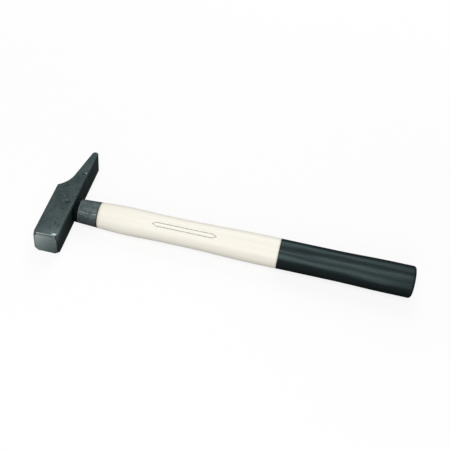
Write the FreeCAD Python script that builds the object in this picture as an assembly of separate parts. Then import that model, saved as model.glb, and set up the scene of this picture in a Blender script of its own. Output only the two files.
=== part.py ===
import FreeCAD, Part
import os

# A joiner's hammer lying on its cheek.  Origin: the centre of the striking face.
# +Y runs from the striking face to the pein, +X from the head along the handle,
# and +Z up through the upper cheek.  Millimetres.

# The head: one forging, square in section, with a straight underside.
face_width = 20.0            # across the striking face, between the cheeks
face_height = 20.0           # along the handle, from underside to head top
head_length = 102.9          # striking face to pein tip
shoulder_reach = 56.8        # striking face to the shoulder above the sweep
throat_reach = 71.3          # striking face to the end of the sweep's arc
throat_thickness = 10.6      # metal left above the underside at the throat
pein_tip_radius = 2.6        # the rounded working edge of the pein
pein_width = 19.0            # length of the working edge, a little under the face
corner_nip = 4.2             # taken off each corner of the face, along both its edges
corner_nip_reach = 3.6       # how far back that facet fades out
long_edge_chamfer = 0.6      # the four long edges of the body
face_bevel = 1.0             # round the striking face
sweep_edge_chamfer = 0.8     # broken edge between cheek and sweep

# The eye: an oval hole with straight flanks that widens towards the head top.
eye_reach = 41.6             # striking face to the middle of the eye
eye_length = 15.0            # along the head, at the underside
eye_width = 9.6              # across the head, at the underside
eye_flare = 0.8              # how far each side opens out by the head top
eye_lip = 0.6                # chamfer round the eye at the head top

# The handle, measured along its axis from the underside of the head.
handle_reach = 274.5         # head underside to the butt
swell_radius = 11.47         # just behind the collar
waist_radius = 10.96         # where the hand slides
belly_radius = 12.2          # just ahead of the grip
hollow_radius = 12.1         # under the fingers
flare_radius = 12.8          # stops the hand slipping off
butt_round = 2.2             # rounding of the handle's end
swell_share = 0.169          # stations, as shares of handle_reach
waist_start_share = 0.265
waist_end_share = 0.31
belly_share = 0.574
grip_share = 0.609           # front of the black sleeve, halfway from belly to hollow
hollow_end_share = 0.755
flare_share = 0.94

# The neck ring and the collar on the handle's reduced neck.
ring_length = 4.4
collar_length = 16.2
neck_front_radius = 9.35     # outside of the ring where it meets the head
collar_front_radius = 9.7    # outside of the collar's front rim
collar_rear_radius = 10.5    # flush with the wood behind it
collar_wall = 0.8            # at the front rim
collar_rim_break = 0.25      # broken edge on the collar's rims
ring_edge_break = 0.3

# The wedges in the end of the tenon.
tenon_set_back = 0.4         # the sawn end lies just inside the head top
wood_wedge_depth = 14.0
wood_wedge_thick = 2.8
wood_wedge_tip = 0.8
steel_wedge_depth = 10.0
steel_wedge_thick = 1.8
steel_wedge_tip = 0.4
steel_wedge_width = 7.2

# The sleeve of the grip.
grip_wall = 0.8              # at its thinnest, under the fingers and over the butt
grip_edge_break = 0.3
seat_end_break = 1.0         # broken edge at the end of the wood, inside the sleeve

# The fits.
eye_gap = 0.03               # tenon in the eye, all round
collar_gap = 0.03            # collar and ring on the neck
overrun = 2.0                # how far cutting tools pass the work

head_top = -face_height / 2
head_underside = face_height / 2
ring_end = head_underside + ring_length
collar_end = ring_end + collar_length
butt = head_underside + handle_reach
grip_start = head_underside + grip_share * handle_reach
grip_radius = (belly_radius + hollow_radius) / 2
neck_radius = collar_front_radius - collar_wall
seat_radius = hollow_radius - grip_wall
axis = FreeCAD.Vector(1, 0, 0)


def vec(x, y, z=0.0):
    return FreeCAD.Vector(x, y, z)


def polygon(points):
    return Part.Face(Part.makePolygon(list(points) + [points[0]]))


def oval(x, half_long, half_thin):
    """An oval wire square to the handle's axis: two straight flanks, two half-round ends."""
    flank = half_long - half_thin
    front, rear = eye_reach - flank, eye_reach + flank
    return Part.Wire([
        Part.makeLine(vec(x, front, half_thin), vec(x, rear, half_thin)),
        Part.Arc(vec(x, rear, half_thin), vec(x, rear + half_thin), vec(x, rear, -half_thin)).toShape(),
        Part.makeLine(vec(x, rear, -half_thin), vec(x, front, -half_thin)),
        Part.Arc(vec(x, front, -half_thin), vec(x, front - half_thin), vec(x, front, half_thin)).toShape(),
    ])


def head_side_outline():
    """The forging seen from its cheek: square body, swept throat, thin pein."""
    shoulder = vec(head_top, shoulder_reach)
    throat = vec(head_underside - throat_thickness, throat_reach)
    tip_middle = vec(head_underside - pein_tip_radius, head_length - pein_tip_radius)
    tip_top = tip_middle + vec(-pein_tip_radius, 0)
    tip_end = tip_middle + vec(0, pein_tip_radius)
    tip_under = tip_middle + vec(pein_tip_radius, 0)

    # The sweep is an arc through the shoulder that leaves the pein's straight top at a tangent.
    along = (tip_top - throat).normalize()
    outward = vec(-along.y, along.x)
    chord = shoulder - throat
    sweep_radius = chord.dot(chord) / (2 * chord.dot(outward))
    centre = throat + outward * sweep_radius
    halfway = ((shoulder - centre) + (throat - centre)).normalize() * abs(sweep_radius)

    corners = (tip_under, vec(head_underside, 0), vec(head_top, 0), shoulder)
    edges = [Part.makeLine(a, b) for a, b in zip(corners, corners[1:])]
    edges.append(Part.Arc(shoulder, centre + halfway, throat).toShape())
    edges.append(Part.makeLine(throat, tip_top))
    edges.append(Part.Arc(tip_top, tip_end, tip_under).toShape())
    return Part.Face(Part.Wire(edges))


def head_plan_outline():
    """The forging seen along the handle: parallel cheeks, then a slight taper to the pein."""
    half = face_width / 2
    tip = pein_width / 2
    return polygon([
        vec(0, 0, -half), vec(0, shoulder_reach, -half), vec(0, head_length, -tip),
        vec(0, head_length, tip), vec(0, shoulder_reach, half), vec(0, 0, half),
    ])


def head_section():
    """The body's square section with its four edges chamfered."""
    high = face_height / 2
    wide = face_width / 2
    cut = long_edge_chamfer
    return polygon([
        vec(-high, 0, cut - wide), vec(cut - high, 0, -wide), vec(high - cut, 0, -wide),
        vec(high, 0, cut - wide), vec(high, 0, wide - cut), vec(high - cut, 0, wide),
        vec(cut - high, 0, wide), vec(-high, 0, wide - cut),
    ])


def nipped_blank():
    """A square turned on its corner that opens out from the face, to nip the face's corners."""
    outlines = []
    for y in (0, head_length):
        reach = (face_width + face_height) / 2 - corner_nip * (1 - y / corner_nip_reach)
        corners = (vec(-reach, y), vec(0, y, -reach), vec(reach, y), vec(0, y, reach))
        outlines.append(Part.makePolygon([*corners, corners[0]]))
    return Part.makeLoft(outlines, True, True)


def eye_oval(x, gap):
    """The eye's section at a station, drawn in by a gap all round."""
    flare = eye_flare * (head_underside - x) / face_height
    return oval(x, eye_length / 2 + flare - gap, eye_width / 2 + flare - gap)


def eye_body(start, end, gap):
    return Part.makeLoft([eye_oval(start, gap), eye_oval(end, gap)], True, True)


def head():
    side = head_side_outline().extrude(vec(0, 0, face_width)).translated(vec(0, 0, -face_width / 2))
    sweep_edges = [
        e for e in side.Edges
        if e.BoundBox.YMin > shoulder_reach - pein_tip_radius and e.BoundBox.ZLength < pein_tip_radius
        and e.CenterOfMass.x < head_underside - pein_tip_radius / 2
    ]
    side = side.makeChamfer(sweep_edge_chamfer, sweep_edges)
    plan = head_plan_outline().extrude(vec(face_height, 0)).translated(vec(head_top, 0))
    body = head_section().extrude(vec(0, head_length))
    forging = side.common(plan).common(body).removeSplitter()

    face_edges = [e for e in forging.Edges if e.BoundBox.YMax < face_bevel / 2]
    forging = forging.makeChamfer(face_bevel, face_edges).common(nipped_blank())

    lip_oval = [eye_oval(head_top, -eye_lip), eye_oval(head_top + eye_lip, 0)]
    eye = eye_body(head_top - overrun, head_underside + overrun, 0)
    return forging.cut(eye).cut(Part.makeLoft(lip_oval, True, True))


def wedge_blank(depth, thick, tip):
    """Side view of a wedge, along the handle's axis and across it, pointing at the grip."""
    start = head_top + tenon_set_back
    end = start + depth
    return ((start, -thick / 2), (end, -tip / 2), (end, tip / 2), (start, thick / 2))


def wood_wedge_body():
    outline = wedge_blank(wood_wedge_depth, wood_wedge_thick, wood_wedge_tip)
    half = eye_length / 2 + eye_flare + overrun
    return polygon([vec(x, eye_reach - half, z) for x, z in outline]).extrude(vec(0, 2 * half))


def steel_wedge():
    outline = wedge_blank(steel_wedge_depth, steel_wedge_thick, steel_wedge_tip)
    half = steel_wedge_width / 2
    return polygon([vec(x, eye_reach + y, -half) for x, y in outline]).extrude(vec(0, 0, 2 * half))


def tenon_body():
    return eye_body(head_top + tenon_set_back, head_underside, eye_gap)


def wood_wedge():
    return tenon_body().common(wood_wedge_body()).cut(steel_wedge())


def at(x, radius):
    """A point of a turned outline: station along the handle, radius from its axis."""
    return vec(x, eye_reach + radius)


def station(share):
    return head_underside + share * handle_reach


def turned(edges):
    """A turned solid from a closed outline on one side of the handle's axis."""
    outline = Part.Face(Part.Wire(Part.sortEdges(edges)[0]))
    return outline.revolve(vec(0, eye_reach), axis, 360)


def crest_arc(x, radius, crest_x, crest_radius):
    """An arc from a point of the outline to a crest or a hollow, where it runs along the axis."""
    run = crest_x - x
    rise = crest_radius - radius
    bow = (run * run + rise * rise) / (2 * rise)
    centre = at(crest_x, crest_radius - bow)
    halfway = (at(x, radius) - centre) + (at(crest_x, crest_radius) - centre)
    return Part.Arc(at(x, radius), centre + halfway.normalize() * abs(bow), at(crest_x, crest_radius)).toShape()


def swing(start, start_radius, end, end_radius):
    """Two like arcs from a crest to a hollow, or back, meeting at a tangent halfway."""
    middle = (start + end) / 2
    middle_radius = (start_radius + end_radius) / 2
    return [
        crest_arc(middle, middle_radius, start, start_radius),
        crest_arc(middle, middle_radius, end, end_radius),
    ]


def wood_edges():
    """The handle's visible outline, from the collar to the grip."""
    swell = station(swell_share)
    waist_start = station(waist_start_share)
    waist_end = station(waist_end_share)
    belly = station(belly_share)
    return [
        crest_arc(collar_end, collar_rear_radius, swell, swell_radius),
        *swing(swell, swell_radius, waist_start, waist_radius),
        Part.makeLine(at(waist_start, waist_radius), at(waist_end, waist_radius)),
        *swing(waist_end, waist_radius, belly, belly_radius),
        crest_arc(grip_start, grip_radius, belly, belly_radius),
    ]


def sleeve_edges():
    """The grip's outline: hollow for the fingers, flared at the end, its edge rounded at the butt."""
    hollow_start = 2 * grip_start - station(belly_share)
    hollow_end = station(hollow_end_share)
    flare = station(flare_share)
    round_centre = at(butt - butt_round, flare_radius - butt_round)
    round_middle = round_centre + vec(1, 1).normalize() * butt_round
    round_start = at(butt - butt_round, flare_radius)
    round_end = at(butt, flare_radius - butt_round)
    return [
        crest_arc(grip_start, grip_radius, hollow_start, hollow_radius),
        Part.makeLine(at(hollow_start, hollow_radius), at(hollow_end, hollow_radius)),
        *swing(hollow_end, hollow_radius, flare, flare_radius),
        Part.makeLine(at(flare, flare_radius), round_start),
        Part.Arc(round_start, round_middle, round_end).toShape(),
        Part.makeLine(round_end, at(butt, 0)),
    ]


def seat_edges():
    """The straight wood that carries the grip, its end edge broken."""
    seat_end = butt - grip_wall
    corners = (
        at(grip_start, seat_radius),
        at(seat_end - seat_end_break, seat_radius),
        at(seat_end, seat_radius - seat_end_break),
        at(seat_end, 0),
    )
    return [Part.makeLine(a, b) for a, b in zip(corners, corners[1:])]


def handle():
    neck_front = at(head_underside, neck_radius - collar_gap)
    neck_rear = at(collar_end, neck_radius - collar_gap)
    turning = turned([
        Part.makeLine(at(head_underside, 0), neck_front),
        Part.makeLine(neck_front, neck_rear),
        Part.makeLine(neck_rear, at(collar_end, collar_rear_radius)),
        *wood_edges(),
        Part.makeLine(at(grip_start, grip_radius), at(grip_start, seat_radius)),
        *seat_edges(),
        Part.makeLine(at(butt - grip_wall, 0), at(head_underside, 0)),
    ])
    tenon = tenon_body().cut(wood_wedge_body()).cut(steel_wedge())
    return turning.fuse(tenon).removeSplitter()


def grip():
    sleeve = turned([
        Part.makeLine(at(grip_start, seat_radius), at(grip_start, grip_radius)),
        *sleeve_edges(),
        Part.makeLine(at(butt, 0), at(butt - grip_wall, 0)),
        *seat_edges(),
    ])
    rim = [e for e in sleeve.Edges if e.BoundBox.XMax < grip_start + grip_edge_break]
    rim.sort(key=lambda e: e.Length)
    return sleeve.makeChamfer(grip_edge_break, rim[-1:])


def sleeve_on_neck(start, end, start_radius, end_radius, edge_break):
    """A short sleeve on the neck, its two outer rims broken."""
    corners = (
        at(start, neck_radius),
        at(start, start_radius - edge_break),
        at(start + edge_break, start_radius),
        at(end - edge_break, end_radius),
        at(end, end_radius - edge_break),
        at(end, neck_radius),
    )
    return turned([Part.makeLine(a, b) for a, b in zip(corners, corners[1:] + corners[:1])])


def collar():
    return sleeve_on_neck(ring_end, collar_end, collar_front_radius, collar_rear_radius, collar_rim_break)


def neck_ring():
    return sleeve_on_neck(head_underside, ring_end, neck_front_radius, collar_front_radius, ring_edge_break)


pieces = {
    "head": head,
    "handle": handle,
    "collar": collar,
    "neck_ring": neck_ring,
    "wood_wedge": wood_wedge,
    "steel_wedge": steel_wedge,
    "grip": grip,
}

os.makedirs("parts", exist_ok=True)
for name, make in pieces.items():
    shape = make()
    solids = shape.Solids
    box = shape.optimalBoundingBox()
    print(name, "solids", len(solids), "valid", shape.isValid(), "volume", round(shape.Volume, 1),
          "box", [round(v, 2) for v in (box.XMin, box.XMax, box.YMin, box.YMax, box.ZMin, box.ZMax)])
    if len(solids) == 1:
        shape = solids[0]
    shape.exportStep("parts/" + name + ".step")
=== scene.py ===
import math

import bmesh
import bpy
from mathutils import Matrix, Vector


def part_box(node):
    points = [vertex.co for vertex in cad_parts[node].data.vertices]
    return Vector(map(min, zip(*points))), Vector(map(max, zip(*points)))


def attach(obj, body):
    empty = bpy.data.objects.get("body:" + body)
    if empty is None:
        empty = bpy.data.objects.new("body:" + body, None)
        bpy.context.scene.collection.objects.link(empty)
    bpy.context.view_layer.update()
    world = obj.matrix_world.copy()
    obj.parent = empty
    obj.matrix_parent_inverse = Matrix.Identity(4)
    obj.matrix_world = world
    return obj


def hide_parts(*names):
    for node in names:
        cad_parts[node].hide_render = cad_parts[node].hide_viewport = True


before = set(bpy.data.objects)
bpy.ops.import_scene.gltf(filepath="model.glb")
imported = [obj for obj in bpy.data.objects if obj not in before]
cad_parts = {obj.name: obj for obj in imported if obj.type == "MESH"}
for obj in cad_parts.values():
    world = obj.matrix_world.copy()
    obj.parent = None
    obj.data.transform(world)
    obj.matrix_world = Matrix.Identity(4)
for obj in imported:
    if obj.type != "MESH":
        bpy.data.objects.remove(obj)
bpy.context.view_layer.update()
scene = bpy.context.scene
scene.view_settings.view_transform = "Standard"

MM = 0.001

# The photograph's camera, in the hammer's own frame. Lens and sensor are in millimetres, and the
# nearest and furthest that it sees are in metres.
CAMERA_PLACE = (0.188159, -0.411646, 0.494562)
CAMERA_RIGHT = (0.97447, 0.20838, 0.08364)
CAMERA_FORWARD = (-0.08511, 0.68748, -0.72119)
CAMERA_LENS = 67.66
CAMERA_SENSOR = 36.0
CAMERA_NEAR = 0.01
CAMERA_FAR = 20.0

# The handle's stations, as shares of its reach below the head, and its radii there.
SWELL = (0.169, 11.47 * MM)
WAIST_START = (0.265, 10.96 * MM)
WAIST_END = (0.31, 10.96 * MM)
BELLY = (0.574, 12.2 * MM)
HOLLOW_END = (0.755, 12.1 * MM)
FLARE = (0.94, 12.8 * MM)
BUTT_ROUND = 2.2 * MM
GRIP_WALL = 0.8 * MM
SEAT_END_BREAK = 1 * MM
COLLAR_WALL = 0.8 * MM
RING_FRONT_RADIUS = 9.35 * MM
COLLAR_FRONT_RADIUS = 9.7 * MM

# Broken edges of the finished pieces.
RIM_ROUND = 0.32 * MM
HEAD_EDGE_ROUND = 0.34 * MM
WOOD_EDGE_ROUND = 0.25 * MM

# Turned pieces: steps round the axis, the turn between two faces that shows as a crease, the nudge that
# keeps a whole row number from falling below itself, and how near points of a turned piece, and of a
# CAD mesh, are joined.
STEPS_AROUND = 128
CREASE_TURN = math.radians(40)
ROW_NUDGE = 0.0001
TURNED_JOIN = 0.001 * MM
CAD_JOIN = 0.002 * MM

# The head's faces and edges: the turn up to which neighbours are one flat, the turn that gets a rounded
# edge, the turn that shows as a crease, and the room about the eye's axis where edges stay sharp. The
# tenon is cut off a little inside the underside.
FLAT_TURN = math.radians(0.6)
ROUNDED_TURN = math.radians(12)
HEAD_CREASE_TURN = math.radians(30)
EYE_ROOM_ALONG = 9.2 * MM
EYE_ROOM_ACROSS = 6.5 * MM
TENON_CUT_INSIDE = 0.02 * MM

# The head's finishes after the forging's own, which is its first, and the faces that get them by where
# they lie and which way they look: the ground end, its bevel in a darker copy of the ground finish as
# painted shade, the chamfers and rounded edges in a darker copy of the forging's as painted shade, and a
# painted highlight line on the rim of the cheek beside the ground face, in the ground finish.
PAINTED_SHADE_EDGE_SLOT, FACE_SLOT, BEVEL_SLOT = 1, 2, 3
GROUND_DEPTH = 3 * MM
LOOKS_FORWARD = -0.1
LOOKS_SQUARE_ON = -0.9
CHAMFER_RISE = (0.3, 0.9)
PAINTED_HIGHLIGHT_RIM_DEPTH = (0.5 * MM, 1.6 * MM)
PAINTED_HIGHLIGHT_RIM_END = 7 * MM
PAINTED_HIGHLIGHT_RIM_RISE = 0.6

# The plain frame printed on the wood: its middle along the handle, how far round from straight up
# towards the striking face's side, its sizes, how its ends taper, and how strongly the ink shows.
PRINT_X = 0.1012
PRINT_TURN = math.radians(30)
PRINT_LENGTH = 54 * MM
PRINT_WIDTH = 4.8 * MM
PRINT_LINE = 0.7 * MM
PRINT_TAPER = 0.6
PRINT_STRENGTH = 0.8

# A painted glint at the corner of the striking face, in a bare-steel colour that the speck on the pein
# shares: its place, how little distance across the head counts there, which draws it out that way, how
# ragged it is, how far out it is full and how far the painted sheen round it reaches, the height on the
# cheek above which it shows, and the speck on the pein.
BARE_STEEL_AND_GLINT = (0.60, 0.65, 0.65)
GLINT = (6.4 * MM, 2.5 * MM, 10 * MM)
GLINT_SQUEEZE = (0.55, 1.0, 1.0)
GLINT_RAGGED = 3 * MM
GLINT_CORE = (1.7 * MM, 2.6 * MM)
GLINT_SHEEN = (3 * MM, 13 * MM)
GLINT_HEIGHT = (9.7 * MM, 9.9 * MM)
SPECK = (7.8 * MM, 75.2 * MM, 9.85 * MM)
SPECK_REACH = (0.2 * MM, 0.65 * MM)

# The plainest struck marks on the upper cheek: place and reach in millimetres, and how much each raises
# the noise at its core; beyond its reach it lowers the noise instead.
STRUCK_MARKS = (((-5.8, 50.6, 10), 3.6, 0.17), ((-2.8, 37.2, 10), 3.3, 0.16),
                ((4.9, 39.0, 10), 3.4, 0.29), ((2.2, 38.4, 10), 2.6, 0.14),
                ((-5.6, 26.3, 10), 3.1, 0.17), ((1.0, 8.4, 10), 3.3, 0.25), ((-3.6, 9.6, 10), 2.4, 0.15))
MARK_CORE = 0.3 * MM
MARK_SURROUND = -0.1

# Painted sheen on the cheek: from the cheek's own height up, on the body but not on the pein, and growing
# towards the underside.
PAINTED_SHEEN_HEIGHT = (9.0 * MM, 9.5 * MM)
PAINTED_SHEEN_ALONG = (45 * MM, 65 * MM)
PAINTED_SHEEN_ACROSS = (6 * MM, 9.4 * MM)
PAINTED_SHEEN_STRENGTH = 0.22

# The collar's long scuff: how far round it lies from straight up towards the striking face's side, how
# far it wanders, and where it starts to fade and ends beside its middle line.
SCUFF_TURN = math.radians(47)
SCUFF_WANDER = 2 * MM
SCUFF_WIDTH = (0.1 * MM, 0.4 * MM)

# Colours of the finishes.
OXIDE_DARK, OXIDE_LIGHT = (0.032, 0.044, 0.045), (0.055, 0.072, 0.073)
# A darker copy of the oxide: painted shade on the chamfers and rounded edges.
PAINTED_SHADE_EDGE_DARK, PAINTED_SHADE_EDGE_LIGHT = (0.020, 0.028, 0.029), (0.036, 0.048, 0.049)
# Ground steel's tones, from darkest to brightest along its painted light.
GROUND_DARK, GROUND_MID, GROUND_BRIGHT = (0.073, 0.097, 0.097), (0.255, 0.31, 0.31), (0.58, 0.635, 0.63)
GROUND_LINES, GROUND_NICKS = (0.40, 0.45, 0.45), (0.03, 0.04, 0.04)
SATIN_DARK, SATIN_MID, SATIN_LIGHT = (0.042, 0.057, 0.058), (0.069, 0.087, 0.090), (0.097, 0.118, 0.121)
# The scuffs' colour, which also paints a highlight along the collar's front rim.
SATIN_LINES, SATIN_SCUFFS_AND_RIM_HIGHLIGHT, SATIN_SPECKS = (0.15, 0.172, 0.175), (0.24, 0.27, 0.27), (0.31, 0.34, 0.34)
SATIN_LONG_SCUFF, SATIN_REAR_RIM = (0.30, 0.33, 0.33), (0.014, 0.02, 0.02)
# The ring's black, darker than the plastic's own: painted shade of the gap between head and collar.
PLASTIC_AND_SHADE_DARK, PLASTIC_AND_SHADE_LIGHT = (0.0016, 0.0036, 0.0036), (0.0035, 0.0065, 0.0065)
PLASTIC_DUST = (0.05, 0.055, 0.055)
WOOD_DARK, WOOD_LIGHT = (0.905, 0.874, 0.778), (0.918, 0.895, 0.818)
WOOD_RINGS, WOOD_PORES, WOOD_AT_JOINS = (0.81, 0.71, 0.52), (0.60, 0.49, 0.34), (0.36, 0.30, 0.21)
PRINT_INK = (0.10, 0.09, 0.075)
WEDGE_DARK, WEDGE_LIGHT = (0.30, 0.17, 0.08), (0.48, 0.30, 0.16)
GRIP_DARK, GRIP_LIGHT = (0.0125, 0.0185, 0.019), (0.025, 0.034, 0.035)
GRIP_DUST = (0.08, 0.09, 0.09)
DARK_TINT = (0.3, 0.33, 0.33)
WHITE = (1, 1, 1)

# The wood's growth: how far the pith lies from the axis, towards the striking face's side and below it,
# and the rings to a metre.
PITH_FORWARD = 0.021
PITH_BELOW = 0.016
RINGS_TO_A_METRE = 560

# The studio: what the lamps are aimed at, the level of the light from all round, and for each lamp its
# lean from straight up towards the front in degrees, its distance, width and height, and its level.
LAMP_AIM = (0.1, 0.04, 0.0)
WORLD_LEVEL = 0.17
SOFTBOXES = (("overhead_softbox", 20, 1.1, 0.7, 0.4, 0.36),
             ("front_softbox", 67, 1.0, 0.6, 0.65, 0.56),
             ("back_softbox", -47, 1.1, 0.6, 0.9, 0.5))

# The floor: half its side, its own colour, the light that it throws back, how much of it shows as plain
# white near the hammer, and the distances between which that grows to all of it.
FLOOR_HALF = 3.0
FLOOR_PALE = (0.98, 0.98, 0.98)
FLOOR_BOUNCE = (0.37, 0.37, 0.37)
FLOOR_WHITE = 0.85
FLOOR_WHITENS = (0.16, 0.6)

head_low, head_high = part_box("head")
ring_low, ring_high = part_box("neck_ring")
collar_low, collar_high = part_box("collar")
grip_low, grip_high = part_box("grip")
EYE_Y = (collar_low.y + collar_high.y) / 2
REACH = grip_high.x - head_high.x
COLLAR_REAR_RADIUS = (collar_high.y - collar_low.y) / 2
NECK_RADIUS = COLLAR_FRONT_RADIUS - COLLAR_WALL
SEAT_RADIUS = HOLLOW_END[1] - GRIP_WALL
SEAT_END = grip_high.x - GRIP_WALL
GRIP_START = (grip_low.x, (BELLY[1] + HOLLOW_END[1]) / 2)


def put_in_scene(name, data):
    """A new object at the origin that holds this mesh, lamp or camera."""
    made = bpy.data.objects.new(name, data)
    scene.collection.objects.link(made)
    return made


def camera_at_the_photograph():
    data = bpy.data.cameras.new("photograph_camera")
    data.lens = CAMERA_LENS
    data.sensor_width = CAMERA_SENSOR
    data.clip_start = CAMERA_NEAR
    data.clip_end = CAMERA_FAR
    camera = put_in_scene("photograph_camera", data)
    forward = Vector(CAMERA_FORWARD).normalized()
    right = Vector(CAMERA_RIGHT)
    right = (right - forward * right.dot(forward)).normalized()
    up = right.cross(forward)
    turn = Matrix((right, up, -forward)).transposed()
    camera.matrix_world = Matrix.Translation(CAMERA_PLACE) @ turn.to_4x4()
    scene.camera = camera


class Bench:
    """Lays out the nodes of one tree from left to right and joins them."""

    COLUMN_WIDTH, ROW_HEIGHT, ROWS = 190, 120, 3

    def __init__(self, tree):
        self.tree = tree
        self.column = 0

    def feed(self, socket, value):
        """Gives a socket another node's output, or else a value; a colour is three numbers."""
        if isinstance(value, bpy.types.NodeSocket):
            self.tree.links.new(value, socket)
        elif socket.type == "RGBA":
            socket.default_value = (*value, 1)
        else:
            socket.default_value = value

    def node(self, kind, inputs=None, **settings):
        """A new node with its settings, and its inputs fed by name or number."""
        made = self.tree.nodes.new(kind)
        self.column += 1
        made.location = (self.column * self.COLUMN_WIDTH, -(self.column % self.ROWS) * self.ROW_HEIGHT)
        for name, value in settings.items():
            setattr(made, name, value)
        for name, value in (inputs or {}).items():
            self.feed(made.inputs[name], value)
        return made

    def maths(self, how, first, *others):
        """One value put through a sum, or several from left to right."""
        if not others:
            return self.node("ShaderNodeMath", {0: first}, operation=how).outputs[0]
        for other in others:
            first = self.node("ShaderNodeMath", {0: first, 1: other}, operation=how).outputs[0]
        return first

    def add(self, *values):
        return self.maths("ADD", *values)

    def minus(self, value, less):
        return self.maths("SUBTRACT", value, less)

    def times(self, *values):
        return self.maths("MULTIPLY", *values)

    def vectors(self, how, *values):
        """The outputs of a sum on vectors."""
        return self.node("ShaderNodeVectorMath", dict(enumerate(values)), operation=how).outputs


class Finish(Bench):
    """A material, its shader and the bench that its nodes are laid out on."""

    def __init__(self, name):
        self.material = bpy.data.materials.new(name)
        self.material.use_nodes = True
        super().__init__(self.material.node_tree)
        self.shader = self.tree.nodes["Principled BSDF"]

    def shade(self, inputs):
        """Feeds the shader's own sockets."""
        for name, value in inputs.items():
            self.feed(self.shader.inputs[name], value)

    def dark_edged(self, metallic, mirror):
        """A sheen that mirrors little, and less still where it is seen edge on."""
        self.shade({"Metallic": metallic, "Specular IOR Level": mirror, "Specular Tint": DARK_TINT})

    def relief(self, height, depth, strength=1.0):
        """Raises the surface by a height of up to about 1, times a depth."""
        bump = self.node("ShaderNodeBump", {"Height": height, "Distance": depth, "Strength": strength})
        self.shade({"Normal": bump.outputs["Normal"]})

    def place(self, stretch=(1, 1, 1), shift=(0, 0, 0)):
        """The piece's own coordinates, stretched and shifted to the pattern."""
        own = self.node("ShaderNodeTexCoord").outputs["Object"]
        return self.node("ShaderNodeMapping",
                         {"Vector": own, "Scale": stretch, "Location": shift}).outputs["Vector"]

    def axis(self, letter):
        """One of the piece's own coordinates, in metres."""
        return self.node("ShaderNodeSeparateXYZ", {0: self.place()}).outputs[letter]

    def distance(self, spot):
        """How far a point lies from a spot on the piece, in metres."""
        return self.vectors("DISTANCE", self.place(), spot)["Value"]

    def distance_round(self, turn, radius):
        """How far a point lies round the handle from the line at this turn, in metres at this radius."""
        beside = self.minus(EYE_Y, self.axis("Y"))
        return self.times(self.minus(self.maths("ARCTAN2", beside, self.axis("Z")), turn), radius)

    def noise(self, vector, scale, detail=4.0, rough=0.55, distortion=0.0):
        """Soft clouds from about 0.2 to 0.8; the scale is how many lie along a metre of the piece, times
        the stretch of its place."""
        return self.node("ShaderNodeTexNoise",
                         {"Vector": vector, "Scale": scale, "Detail": detail, "Roughness": rough,
                          "Distortion": distortion}).outputs["Fac"]

    def ramp(self, factor, *stops):
        """Colours or greys by position; a stop is (position, value)."""
        made = self.node("ShaderNodeValToRGB", {"Fac": factor})
        stripe = made.color_ramp.elements
        while len(stripe) < len(stops):
            stripe.new(1.0)
        for element, (position, value) in zip(stripe, stops):
            element.position = position
            element.color = (*value, 1) if isinstance(value, tuple) else (value, value, value, 1)
        return made.outputs["Color"]

    def graded(self, value, start, end, first=0.0, last=1.0, run="LINEAR"):
        """A share that runs from one figure to another between two places, and stays there beyond."""
        return self.node("ShaderNodeMapRange",
                         {"Value": value, "From Min": start, "From Max": end, "To Min": first,
                          "To Max": last}, interpolation_type=run).outputs["Result"]

    def blend(self, share, under, over):
        """A share of one colour laid over another."""
        return self.node("ShaderNodeMix", {0: share, 6: under, 7: over}, data_type="RGBA").outputs[2]


def shaded(colour, share):
    return tuple(share * v for v in colour)


# Finishes.


def with_marks(finish, struck):
    """Raises the noise of struck marks where the upper cheek carries its plainest ones."""
    ragged = finish.noise(finish.place(), 620, detail=3, distortion=0.6)
    for spot, reach, height in STRUCK_MARKS:
        away = finish.distance(shaded(spot, MM))
        near = finish.graded(away, MARK_CORE, reach * MM, height, MARK_SURROUND)
        struck = finish.maths("MAXIMUM", struck, finish.add(ragged, near))
    return struck


def round_the_glint(finish, clouds, near, far):
    """Ragged mask round the face's corner, for the painted glint there and the painted sheen round it."""
    away = finish.vectors("SUBTRACT", finish.place(), GLINT)[0]
    length = finish.vectors("LENGTH", finish.vectors("MULTIPLY", away, GLINT_SQUEEZE)[0])["Value"]
    return finish.graded(finish.add(length, finish.times(clouds, GLINT_RAGGED)), near, far, 1.0, 0.0)


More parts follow.
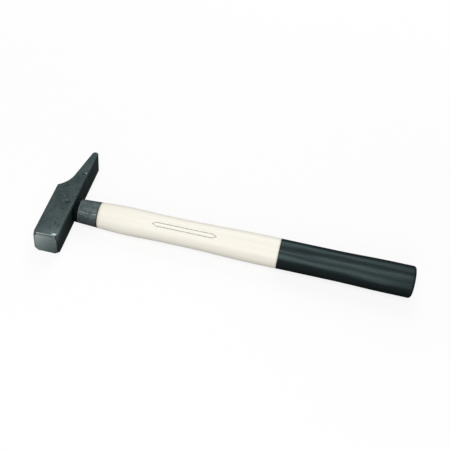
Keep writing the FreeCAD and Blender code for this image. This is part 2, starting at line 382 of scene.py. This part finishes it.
def forged_steel(name, dark, light, roughness, pit_depth):
    """Tumbled forging steel under a thin oxide: softly clouded, finely grained, with painted sheen
    growing towards the underside, scale that was struck into it as a few dark pits with bright rims, a
    painted glint with painted sheen round it at one corner of the face in a bare-steel colour, and bare
    steel at a speck on the pein."""
    finish = Finish(name)
    here = finish.place()
    clouds = finish.noise(here, 60, detail=5)
    patches = finish.noise(here, 260, rough=0.6, distortion=0.5)
    grain = finish.noise(here, 1500, detail=3, rough=0.6)
    struck = finish.noise(finish.place(shift=(0.213, 0.131, 0.077)), 210, detail=3, rough=0.5,
                          distortion=1.6)
    struck = with_marks(finish, struck)
    pits = finish.ramp(struck, (0.625, 0.0), (0.665, 1.0))
    rims = finish.ramp(struck, (0.595, 0.0), (0.615, 1.0), (0.625, 1.0), (0.64, 0.0))

    cloudy = finish.ramp(clouds, (0.32, dark), (0.68, light))
    patchy = finish.blend(finish.ramp(patches, (0.3, 0.22), (0.62, 0.0)), cloudy, shaded(dark, 0.55))
    grainy = finish.blend(finish.ramp(grain, (0.3, 0.18), (0.72, 0.0)), patchy, shaded(dark, 0.5))
    # Painted sheen on the cheek, growing towards the underside.
    wear_and_painted_sheen = finish.times(finish.graded(finish.axis("Z"), *PAINTED_SHEEN_HEIGHT),
                        finish.graded(finish.axis("Y"), *PAINTED_SHEEN_ALONG, 1.0, 0.0),
                        finish.graded(finish.axis("X"), *PAINTED_SHEEN_ACROSS, 0.0, PAINTED_SHEEN_STRENGTH))
    with_painted_sheen = finish.blend(wear_and_painted_sheen, grainy, shaded(light, 1.5))
    rimmed = finish.blend(finish.times(rims, 0.36), with_painted_sheen, shaded(light, 2.4))
    pitted = finish.blend(finish.times(pits, 0.62), rimmed, shaded(dark, 0.3))
    # Painted sheen round the face's corner, and a painted glint at the corner in a bare-steel colour.
    painted_sheen_round_glint = finish.times(round_the_glint(finish, patches, *GLINT_SHEEN), 0.8)
    rubbed_and_painted_light = finish.blend(painted_sheen_round_glint, pitted, shaded(light, 1.7))
    painted_glint = finish.times(round_the_glint(finish, patches, *GLINT_CORE),
                           finish.graded(finish.axis("Z"), *GLINT_HEIGHT))
    speck = finish.graded(finish.distance(SPECK), *SPECK_REACH, 0.65, 0.0)

    height = finish.add(finish.minus(finish.times(grain, 0.16), pits),
                        finish.times(patches, 0.7), finish.times(rims, 0.3))
    finish.relief(height, pit_depth)
    finish.shade({"Base Color": finish.blend(finish.maths("MAXIMUM", painted_glint, speck), rubbed_and_painted_light, BARE_STEEL_AND_GLINT),
                  "Roughness": finish.ramp(patches, (0.25, roughness + 0.07), (0.75, roughness - 0.07))})
    finish.dark_edged(0.65, 0.02)
    return finish.material


def ground_steel(name, painted_light_level):
    """The striking face or its bevel, ground across, with painted light brightest towards the head's top
    edge and the upper cheek; a lower level of it gives a darker copy, painted shade."""
    finish = Finish(name)
    here = finish.place()
    clouds = finish.noise(here, 160, detail=5, rough=0.6)
    lines = finish.noise(finish.place((90, 900, 3200)), 1.0, rough=0.7)
    nicks = finish.ramp(finish.noise(here, 520, detail=2, rough=0.5, distortion=0.6),
                        (0.65, 0.0), (0.70, 0.6))

    # Painted light: brighter towards the head's top edge and the upper cheek.
    lean = finish.add(finish.times(finish.axis("X"), -24), finish.times(finish.axis("Z"), 22))
    rubbed_and_painted_light = finish.add(lean, 0.36, finish.times(clouds, 0.2))
    tone = finish.ramp(rubbed_and_painted_light, (0.1, shaded(GROUND_DARK, painted_light_level)),
                       (0.5, shaded(GROUND_MID, painted_light_level)), (0.9, shaded(GROUND_BRIGHT, painted_light_level)))
    scored = finish.blend(finish.ramp(lines, (0.50, 0.0), (0.72, 0.35)), tone,
                          shaded(GROUND_LINES, painted_light_level))

    finish.relief(finish.minus(lines, nicks), 0.03 * MM)
    finish.shade({"Base Color": finish.blend(nicks, scored, GROUND_NICKS),
                  "Roughness": finish.ramp(clouds, (0.3, 0.44), (0.7, 0.34))})
    finish.dark_edged(0.6, 0.02)
    return finish.material


def satin_steel(name):
    """Drawn steel sleeve under a grey oxide: a painted highlight at its front rim, dark at its rear one,
    clouded between them, with one long scuff, a few across it and lines drawn along it."""
    finish = Finish(name)
    here = finish.place()
    lines = finish.noise(finish.place((40, 900, 900)), 1.6, rough=0.65)
    clouds = finish.noise(here, 260, detail=5, rough=0.65, distortion=0.4)
    scuffs = finish.noise(finish.place((620, 150, 150), (0.3, 0.2, 0.1)), 1.0, detail=3, rough=0.6,
                          distortion=1.5)
    specks = finish.ramp(finish.noise(here, 900, detail=2, rough=0.5), (0.67, 0.0), (0.73, 0.8))
    wander = finish.times(finish.minus(clouds, 0.5), SCUFF_WANDER)
    off_line = finish.add(finish.distance_round(SCUFF_TURN, COLLAR_FRONT_RADIUS), wander)
    scratch = finish.graded(finish.maths("ABSOLUTE", off_line), *SCUFF_WIDTH, 0.7, 0.0)
    gaps = finish.noise(finish.place((500, 90, 90), (0.1, 0.7, 0.2)), 1.0, detail=3, rough=0.6)
    broken = finish.ramp(gaps, (0.42, 0.0), (0.55, 1.0))
    along = finish.graded(finish.axis("X"), collar_low.x, collar_high.x)
    # A painted highlight along the front rim.
    front = finish.ramp(along, (0.0, 0.7), (0.025, 0.55), (0.045, 0.0))
    rear = finish.ramp(along, (0.93, 0.0), (0.975, 0.75))

    base = finish.ramp(clouds, (0.3, SATIN_DARK), (0.55, SATIN_MID), (0.75, SATIN_LIGHT))
    drawn = finish.blend(finish.ramp(lines, (0.50, 0.0), (0.75, 0.4)), base, SATIN_LINES)
    scuffed = finish.blend(finish.ramp(scuffs, (0.63, 0.0), (0.70, 0.6)), drawn, SATIN_SCUFFS_AND_RIM_HIGHLIGHT)
    speckled = finish.blend(specks, scuffed, SATIN_SPECKS)
    scored = finish.blend(finish.times(scratch, broken), speckled, SATIN_LONG_SCUFF)
    rimmed = finish.blend(front, scored, SATIN_SCUFFS_AND_RIM_HIGHLIGHT)

    finish.relief(finish.add(lines, finish.times(scuffs, 0.5)), 0.03 * MM)
    finish.shade({"Base Color": finish.blend(rear, rimmed, SATIN_REAR_RIM),
                  "Roughness": finish.ramp(clouds, (0.25, 0.5), (0.75, 0.38))})
    finish.dark_edged(0.5, 0.02)
    return finish.material


def gloss_black(name):
    """Moulded ring, glossy, with faint moulding flow and a little dust; its black is darker than the
    plastic's own, painted shade of the gap between head and collar.
    """
    finish = Finish(name)
    here = finish.place()
    flow = finish.noise(here, 420)
    dust = finish.ramp(finish.noise(here, 1600, detail=2, rough=0.5), (0.68, 0.0), (0.74, 0.4))
    # Darker than the plastic's own black: painted shade of the gap between head and collar.
    black = finish.ramp(flow, (0.3, PLASTIC_AND_SHADE_DARK), (0.75, PLASTIC_AND_SHADE_LIGHT))
    finish.relief(flow, 0.02 * MM)
    finish.shade({"Base Color": finish.blend(dust, black, PLASTIC_DUST),
                  "Roughness": finish.ramp(flow, (0.3, 0.22), (0.8, 0.34)),
                  "Specular IOR Level": 0.025})
    return finish.material


def printed_frame(finish):
    """Where the ink of the frame lies: a long thin outline with pointed ends, on the upper front."""
    along = finish.minus(finish.axis("X"), PRINT_X)
    off = finish.maths("ABSOLUTE", finish.distance_round(PRINT_TURN, BELLY[1]))
    to_end = finish.minus(PRINT_LENGTH / 2, finish.maths("ABSOLUTE", along))
    width_here = finish.maths("MINIMUM", PRINT_WIDTH / 2, finish.times(to_end, PRINT_TAPER))
    off_line = finish.maths("ABSOLUTE", finish.minus(finish.minus(width_here, off), PRINT_LINE))
    band = finish.graded(off_line, 0.4 * PRINT_LINE, 0.6 * PRINT_LINE, PRINT_STRENGTH, 0.0)
    wear_and_painted_sheen = finish.ramp(finish.noise(finish.place(), 1400, detail=3, rough=0.6), (0.36, 0.3), (0.5, 1.0))
    return finish.times(band, wear_and_painted_sheen)


def pale_wood(name):
    """Varnished ash: faint growth rings about a pith outside the blank, fine pores drawn out along the
    grain, darker where it meets the collar and the sleeve, and a plain printed frame."""
    finish = Finish(name)
    here = finish.place((0.06, 1, 1), (0, -EYE_Y, 0))
    wander = finish.noise(here, 55, detail=3, rough=0.5)
    split = finish.node("ShaderNodeSeparateXYZ", {0: here}).outputs
    across = finish.add(split["Y"], PITH_FORWARD)
    upward = finish.add(split["Z"], PITH_BELOW)
    radius = finish.maths("SQRT", finish.add(finish.times(across, across), finish.times(upward, upward)))
    ringed = finish.add(finish.times(radius, RINGS_TO_A_METRE), finish.times(wander, 2.6))
    late_wood = finish.ramp(finish.maths("FRACT", ringed),
                            (0.0, 0.0), (0.62, 0.15), (0.93, 1.0), (1.0, 0.0))
    pores = finish.noise(finish.place((40, 1700, 1700)), 1.0, detail=3, rough=0.7)
    pore_marks = finish.ramp(pores, (0.58, 0.0), (0.70, 1.0))
    clouds = finish.noise(finish.place((9, 60, 60)), 1.0, detail=3, rough=0.5)
    bare_share = finish.graded(finish.axis("X"), collar_high.x, grip_low.x)
    darker_at_joins = finish.ramp(bare_share, (0.0, 0.5), (0.012, 0.0), (0.99, 0.0), (1.0, 0.45))

    base = finish.ramp(clouds, (0.3, WOOD_DARK), (0.7, WOOD_LIGHT))
    grown = finish.blend(finish.times(late_wood, 0.32), base, WOOD_RINGS)
    porous = finish.blend(finish.times(pore_marks, 0.22), grown, WOOD_PORES)
    darkened_at_joins = finish.blend(darker_at_joins, porous, WOOD_AT_JOINS)

    finish.relief(finish.times(pore_marks, -1.0), 0.02 * MM, strength=0.6)
    finish.shade({"Base Color": finish.blend(printed_frame(finish), darkened_at_joins, PRINT_INK),
                  "Roughness": finish.ramp(pores, (0.4, 0.40), (0.7, 0.52)),
                  "Specular IOR Level": 0.3, "Coat Weight": 0.15, "Coat Roughness": 0.3})
    return finish.material


def wedge_wood(name):
    """A darker hardwood for the wedge, grain along the handle."""
    finish = Finish(name)
    fibres = finish.noise(finish.place((60, 900, 900)), 1.4, rough=0.6)
    finish.relief(fibres, 0.05 * MM)
    finish.shade({"Base Color": finish.ramp(fibres, (0.3, WEDGE_DARK), (0.7, WEDGE_LIGHT)),
                  "Roughness": 0.62, "Specular IOR Level": 0.3})
    return finish.material


def black_grip(name):
    """Dipped sleeve: satin black, with a fine orange-peel skin over slow waves that bend its highlights,
    and long patches of rubbing."""
    finish = Finish(name)
    here = finish.place()
    rubbed_and_painted_light = finish.noise(finish.place((14, 170, 170)), 1.0, detail=5, rough=0.62)
    waves = finish.noise(finish.place((22, 80, 80)), 1.0, detail=1, rough=0.4)
    peel = finish.noise(here, 900, detail=2, rough=0.5)
    dust = finish.ramp(finish.noise(here, 1300, detail=2, rough=0.5), (0.70, 0.0), (0.76, 0.5))
    black = finish.ramp(rubbed_and_painted_light, (0.3, GRIP_DARK), (0.72, GRIP_LIGHT))
    finish.relief(finish.add(finish.times(peel, 0.02), finish.times(waves, 1.7)), 1 * MM)
    finish.shade({"Base Color": finish.blend(dust, black, GRIP_DUST),
                  "Roughness": finish.ramp(rubbed_and_painted_light, (0.3, 0.37), (0.72, 0.28))})
    finish.dark_edged(0.7, 0.03)
    return finish.material


# Turned pieces.


def round_corner(before, corner, after, radius, steps=5):
    """Points of a rounded corner of an outline, as (station, radius) pairs."""
    before, corner, after = Vector(before), Vector(corner), Vector(after)
    start = corner + (before - corner).normalized() * radius
    end = corner + (after - corner).normalized() * radius
    points = []
    for i in range(steps + 1):
        t = i / steps
        point = start * (1 - t) ** 2 + corner * (2 * t * (1 - t)) + end * t ** 2
        points.append((point.x, point.y))
    return points


def crest_arc(x, radius, crest_x, crest_radius, steps):
    """Points of the arc from (x, radius) to a crest or hollow, where it runs along the axis."""
    run, rise = crest_x - x, crest_radius - radius
    bow = (run * run + rise * rise) / (2 * rise)
    points = []
    for i in range(steps + 1):
        away = run * (1 - i / steps)
        drop = math.copysign(math.sqrt(bow * bow - away * away), bow)
        points.append((crest_x - away, crest_radius - bow + drop))
    return points


def swing(start, end, steps):
    """Points from a crest to a hollow, or back, through two like arcs."""
    middle = ((start[0] + end[0]) / 2, (start[1] + end[1]) / 2)
    return crest_arc(*middle, *start, steps)[::-1] + crest_arc(*middle, *end, steps)[1:]


def station(pair):
    """A share of the handle's reach and a radius, turned into a place along the axis and that radius."""
    return head_high.x + pair[0] * REACH, pair[1]


def wood_outline():
    swell, waist_start, waist_end, belly = (station(p) for p in (SWELL, WAIST_START, WAIST_END, BELLY))
    neck_end, front = (collar_high.x, NECK_RADIUS), (collar_high.x, COLLAR_REAR_RADIUS)
    rising = crest_arc(*front, *swell, steps=12)
    return [(head_high.x, 0), (head_high.x, NECK_RADIUS), neck_end,
            *round_corner(neck_end, front, rising[1], WOOD_EDGE_ROUND), *rising[1:],
            *swing(swell, waist_start, steps=8)[1:],
            waist_end, *swing(waist_end, belly, steps=20)[1:],
            *crest_arc(*GRIP_START, *belly, steps=5)[::-1][1:],
            (grip_low.x, SEAT_RADIUS), (SEAT_END - SEAT_END_BREAK, SEAT_RADIUS),
            (SEAT_END, SEAT_RADIUS - SEAT_END_BREAK), (SEAT_END, 0)]


def butt_round(steps=14):
    """Points of the quarter round from the grip's flare to its end."""
    x, radius = grip_high.x - BUTT_ROUND, FLARE[1] - BUTT_ROUND
    angles = [math.pi / 2 * (1 - i / steps) for i in range(steps + 1)]
    return [(x + BUTT_ROUND * math.cos(angle), radius + BUTT_ROUND * math.sin(angle)) for angle in angles]


def grip_outline():
    belly, hollow_end, flare = (station(p) for p in (BELLY, HOLLOW_END, FLARE))
    seat_start = (grip_low.x, SEAT_RADIUS)
    hollow_start = (2 * GRIP_START[0] - belly[0], HOLLOW_END[1])
    falling = crest_arc(*GRIP_START, *hollow_start, steps=8)
    return [seat_start, *round_corner(seat_start, GRIP_START, falling[1], RIM_ROUND), *falling[1:],
            hollow_end, *swing(hollow_end, flare, steps=10)[1:],
            *butt_round(), (grip_high.x, 0), (SEAT_END, 0), (SEAT_END, SEAT_RADIUS - SEAT_END_BREAK),
            (SEAT_END - SEAT_END_BREAK, SEAT_RADIUS), seat_start]


def sleeve_outline(start, end, start_radius, end_radius, edge):
    a, b = (start, start_radius), (end, end_radius)
    inner_a, inner_b = (start, NECK_RADIUS), (end, NECK_RADIUS)
    return [inner_a, *round_corner(inner_a, a, b, edge), *round_corner(a, b, inner_b, edge),
            inner_b, inner_a]


def turning_tree():
    """Spins an outline, whose points are the piece's own vertices in order, about the handle's axis."""
    tree = bpy.data.node_groups.new("turning", "GeometryNodeTree")
    for name, kind in (("Outline", "Geometry"), ("Steps Around", "Int"), ("Axis", "Vector"),
                       ("Sharp Angle", "Float"), ("Finish", "Material")):
        tree.interface.new_socket(name, in_out="INPUT", socket_type="NodeSocket" + kind)
    tree.interface.new_socket("Piece", in_out="OUTPUT", socket_type="NodeSocketGeometry")
    bench = Bench(tree)
    given = bench.node("NodeGroupInput").outputs
    size = bench.node("GeometryNodeAttributeDomainSize", {0: given["Outline"]})
    columns = bench.add(given["Steps Around"], 1)
    grid = bench.node("GeometryNodeMeshGrid",
                      {"Vertices X": size.outputs["Point Count"], "Vertices Y": columns})
    index = bench.node("GeometryNodeInputIndex").outputs[0]
    row = bench.maths("FLOOR", bench.add(bench.maths("DIVIDE", index, columns), ROW_NUDGE))
    column = bench.minus(index, bench.times(row, columns))
    angle = bench.times(bench.maths("DIVIDE", column, given["Steps Around"]), 2 * math.pi)
    place = bench.node("GeometryNodeInputPosition").outputs[0]
    sample = bench.node("GeometryNodeSampleIndex",
                        {"Geometry": given["Outline"], "Value": place, "Index": row},
                        data_type="FLOAT_VECTOR", domain="POINT")
    spin = bench.node("ShaderNodeVectorRotate",
                      {"Vector": sample.outputs[0], "Center": given["Axis"], "Angle": angle},
                      rotation_type="X_AXIS")
    put = bench.node("GeometryNodeSetPosition",
                     {"Geometry": grid.outputs["Mesh"], "Position": spin.outputs[0]})
    close = bench.node("GeometryNodeMergeByDistance",
                       {"Geometry": put.outputs[0], "Distance": TURNED_JOIN})
    smooth = bench.node("GeometryNodeSetShadeSmooth", {"Geometry": close.outputs[0]})
    turn = bench.node("GeometryNodeInputMeshEdgeAngle").outputs["Unsigned Angle"]
    sharp = bench.node("FunctionNodeCompare", {0: turn, 1: given["Sharp Angle"]},
                       data_type="FLOAT", operation="GREATER_THAN")
    crease = bench.node("GeometryNodeSetShadeSmooth",
                        {"Geometry": smooth.outputs[0], "Selection": sharp.outputs[0],
                         "Shade Smooth": False}, domain="EDGE")
    real = bench.node("GeometryNodeRealizeInstances", {0: crease.outputs[0]})
    coat = bench.node("GeometryNodeSetMaterial",
                      {"Geometry": real.outputs[0], "Material": given["Finish"]})
    bench.node("NodeGroupOutput", {"Piece": coat.outputs[0]})
    return tree


def as_plain_mesh(thing, name):
    """Puts the evaluated shape in place of the object's own mesh and its live modifiers."""
    evaluated = thing.evaluated_get(bpy.context.evaluated_depsgraph_get())
    mesh = bpy.data.meshes.new_from_object(evaluated)
    mesh.name = name
    thing.modifiers.clear()
    thing.data = mesh


def outward(mesh):
    """Turns every closed shell's faces outwards."""
    shell = bmesh.new()
    shell.from_mesh(mesh)
    bmesh.ops.recalc_face_normals(shell, faces=shell.faces)
    shell.to_mesh(mesh)
    shell.free()


def turned_piece(name, outline, finish):
    data = bpy.data.meshes.new(name)
    points = [(x, EYE_Y + radius, 0) for x, radius in outline]
    data.from_pydata(points, [(i, i + 1) for i in range(len(points) - 1)], [])
    piece = put_in_scene(name, data)
    spin = piece.modifiers.new("turning", "NODES")
    spin.node_group = TURNING
    sockets = {item.name: item.identifier for item in TURNING.interface.items_tree
               if item.in_out == "INPUT"}
    spin[sockets["Steps Around"]] = STEPS_AROUND
    spin[sockets["Axis"]] = (0.0, EYE_Y, 0.0)
    spin[sockets["Sharp Angle"]] = CREASE_TURN
    spin[sockets["Finish"]] = finish
    as_plain_mesh(piece, name)
    outward(piece.data)
    return piece


# Pieces made from the CAD's own shapes.


def merged_copy(node):
    """A CAD node's mesh with its loose triangles joined up."""
    shape = bmesh.new()
    shape.from_mesh(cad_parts[node].data)
    bmesh.ops.remove_doubles(shape, verts=shape.verts, dist=CAD_JOIN)
    return shape


def piece_from(name, shape, *finishes):
    data = bpy.data.meshes.new(name)
    shape.to_mesh(data)
    shape.free()
    for finish in finishes:
        data.materials.append(finish)
    return put_in_scene(name, data)


def forged_head():
    """The forging with its edges softened by the tumbling drum."""
    shape = merged_copy("head")
    bmesh.ops.dissolve_limit(shape, angle_limit=FLAT_TURN, verts=shape.verts, edges=shape.edges)
    weights = shape.edges.layers.float.new("bevel_weight_edge")
    for edge in shape.edges:
        if len(edge.link_faces) != 2:
            continue
        middle = (edge.verts[0].co + edge.verts[1].co) / 2
        in_eye = abs(middle.y - EYE_Y) < EYE_ROOM_ALONG and abs(middle.z) < EYE_ROOM_ACROSS
        edge[weights] = float(edge.calc_face_angle(0) > ROUNDED_TURN and not in_eye)
        edge.smooth = edge.calc_face_angle(0) < HEAD_CREASE_TURN
    for face in shape.faces:
        face.smooth = True
        if face.calc_center_median().y < GROUND_DEPTH and face.normal.y < LOOKS_FORWARD:
            # The bevel takes a darker copy of the ground finish: painted shade.
            face.material_index = FACE_SLOT if face.normal.y < LOOKS_SQUARE_ON else BEVEL_SLOT
        elif CHAMFER_RISE[0] < abs(face.normal.z) < CHAMFER_RISE[1]:
            # Chamfers take a darker copy of the forging's finish: painted shade.
            face.material_index = PAINTED_SHADE_EDGE_SLOT
    piece = piece_from("forged_head", shape, FORGED, PAINTED_SHADE_EDGE, GROUND, PAINTED_SHADE_BEVEL)
    soften = piece.modifiers.new("tumbled_edges", "BEVEL")
    soften.limit_method = "WEIGHT"
    soften.width = HEAD_EDGE_ROUND
    soften.segments = 3
    # The rounded edges take that darker copy too: painted shade.
    soften.material = PAINTED_SHADE_EDGE_SLOT
    soften.use_clamp_overlap = True
    soften.harden_normals = True
    as_plain_mesh(piece, "forged_head")
    # Rounded faces on the cheek's rim beside the ground face take the ground finish: a painted highlight
    # line.
    for face in piece.data.polygons:
        in_place = (PAINTED_HIGHLIGHT_RIM_DEPTH[0] < face.center.y < PAINTED_HIGHLIGHT_RIM_DEPTH[1]
                    and face.center.x < PAINTED_HIGHLIGHT_RIM_END)
        looks_up = face.normal.z > PAINTED_HIGHLIGHT_RIM_RISE and face.normal.y < LOOKS_FORWARD
        if face.material_index == PAINTED_SHADE_EDGE_SLOT and in_place and looks_up:
            face.material_index = FACE_SLOT
    return piece


def tenon_shell():
    """The part of the CAD handle inside the head, closed where it is cut."""
    shape = merged_copy("handle")
    bmesh.ops.bisect_plane(shape, geom=shape.verts[:] + shape.edges[:] + shape.faces[:],
                           plane_co=(head_high.x - TENON_CUT_INSIDE, 0, 0), plane_no=(1, 0, 0),
                           clear_outer=True)
    bmesh.ops.holes_fill(shape, edges=[edge for edge in shape.edges if edge.is_boundary])
    return piece_from("handle_tenon", shape, WOOD)


def takes_place_of(piece, node):
    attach(piece, "root")
    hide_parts(node)


camera_at_the_photograph()
FORGED = forged_steel("forged_steel_oxide", OXIDE_DARK, OXIDE_LIGHT, 0.43, 0.10 * MM)
# A darker copy of the forging's finish: painted shade on chamfers and rounded edges.
PAINTED_SHADE_EDGE = forged_steel("forged_steel_edges_painted_shade", PAINTED_SHADE_EDGE_DARK, PAINTED_SHADE_EDGE_LIGHT, 0.45, 0.05 * MM)
GROUND = ground_steel("ground_striking_face", 1.0)
# A darker copy of the ground face's finish: painted shade on its bevel.
PAINTED_SHADE_BEVEL = ground_steel("ground_face_bevel_painted_shade", 0.22)
STEEL = satin_steel("satin_steel")
BLACK = gloss_black("gloss_black_plastic")
WOOD = pale_wood("varnished_pale_wood")
WEDGE = wedge_wood("wedge_hardwood")
GRIP = black_grip("satin_black_sleeve")
TURNING = turning_tree()
COLLAR_SLEEVE = sleeve_outline(collar_low.x, collar_high.x, COLLAR_FRONT_RADIUS, COLLAR_REAR_RADIUS,
                               RIM_ROUND)
RING_SLEEVE = sleeve_outline(ring_low.x, ring_high.x, RING_FRONT_RADIUS, COLLAR_FRONT_RADIUS, RIM_ROUND)

takes_place_of(forged_head(), "head")
takes_place_of(turned_piece("handle_wood", wood_outline(), WOOD), "handle")
takes_place_of(turned_piece("grip_sleeve", grip_outline(), GRIP), "grip")
takes_place_of(turned_piece("steel_collar", COLLAR_SLEEVE, STEEL), "collar")
takes_place_of(turned_piece("black_ring", RING_SLEEVE, BLACK), "neck_ring")
tenon = tenon_shell()
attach(tenon, "root")
for node, finish in (("wood_wedge", WEDGE), ("steel_wedge", FORGED)):
    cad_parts[node].data.materials.clear()
    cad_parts[node].data.materials.append(finish)


# The plain studio.


def plain_world():
    """White to the camera and in mirror-like surfaces, and a low even light on everything else."""
    world = bpy.data.worlds.new("studio")
    scene.world = world
    world.use_nodes = True
    bench = Bench(world.node_tree)
    lit = bench.tree.nodes["Background"]
    bench.feed(lit.inputs["Strength"], WORLD_LEVEL)
    bench.feed(lit.inputs["Color"], WHITE)
    shown = bench.node("ShaderNodeBackground", {"Color": WHITE})
    ray = bench.node("ShaderNodeLightPath").outputs
    seen = bench.maths("MAXIMUM", ray["Is Camera Ray"], ray["Is Glossy Ray"], ray["Is Transmission Ray"])
    both = bench.node("ShaderNodeMixShader", {0: seen, 1: lit.outputs[0], 2: shown.outputs[0]})
    bench.feed(bench.tree.nodes["World Output"].inputs["Surface"], both.outputs[0])


def softbox(name, lean, distance, width, height, level):
    """A lamp over the handle, leaning from straight up towards the front by some degrees; a level of 1
    shows a colour that faces it as it is written."""
    data = bpy.data.lights.new(name, "AREA")
    data.shape = "RECTANGLE"
    data.size = width
    data.size_y = height
    data.energy = level * (math.pi * distance) ** 2
    lamp = put_in_scene(name, data)
    aside = Vector((0, -math.sin(math.radians(lean)), math.cos(math.radians(lean)))) * distance
    lamp.matrix_world = (Matrix.Translation(Vector(LAMP_AIM) + aside)
                         @ (-aside).to_track_quat("-Z", "Y").to_matrix().to_4x4())


def floor_finish(name):
    """Nearly white to the camera, with the shadow on it, and all white further off. To all other rays,
    reflections too, it is the duller colour that it throws back."""
    finish = Finish(name)
    finish.shade({"Base Color": FLOOR_PALE, "Roughness": 0.9, "Specular IOR Level": 0.0})
    shine = finish.node("ShaderNodeEmission", {"Color": WHITE})
    thrown = finish.node("ShaderNodeBsdfDiffuse", {"Color": FLOOR_BOUNCE})
    from_hammer = finish.distance((LAMP_AIM[0], LAMP_AIM[1], head_low.z))
    whiter = finish.graded(from_hammer, *FLOOR_WHITENS, FLOOR_WHITE, 1.0, run="SMOOTHSTEP")
    shown = finish.node("ShaderNodeMixShader",
                        {0: whiter, 1: finish.shader.outputs[0], 2: shine.outputs[0]})
    ray = finish.node("ShaderNodeLightPath").outputs
    look = finish.node("ShaderNodeMixShader",
                       {0: ray["Is Camera Ray"], 1: thrown.outputs[0], 2: shown.outputs[0]})
    finish.feed(finish.tree.nodes["Material Output"].inputs["Surface"], look.outputs[0])
    return finish.material


def pale_floor():
    """A plain floor, tilted so that the cheek and the flare of the grip both touch it."""
    middle = (head_high.x + head_low.x) / 2
    slope = (grip_low.z - head_low.z) / (station(FLARE)[0] - middle)
    sides = ((-FLOOR_HALF, -FLOOR_HALF), (FLOOR_HALF, -FLOOR_HALF), (FLOOR_HALF, FLOOR_HALF),
             (-FLOOR_HALF, FLOOR_HALF))
    data = bpy.data.meshes.new("floor")
    data.from_pydata([(x, y, head_low.z + slope * (x - middle)) for x, y in sides], [], [(0, 1, 2, 3)])
    data.materials.append(floor_finish("floor_white"))
    put_in_scene("floor", data)


plain_world()
for lamp in SOFTBOXES:
    softbox(*lamp)
pale_floor()
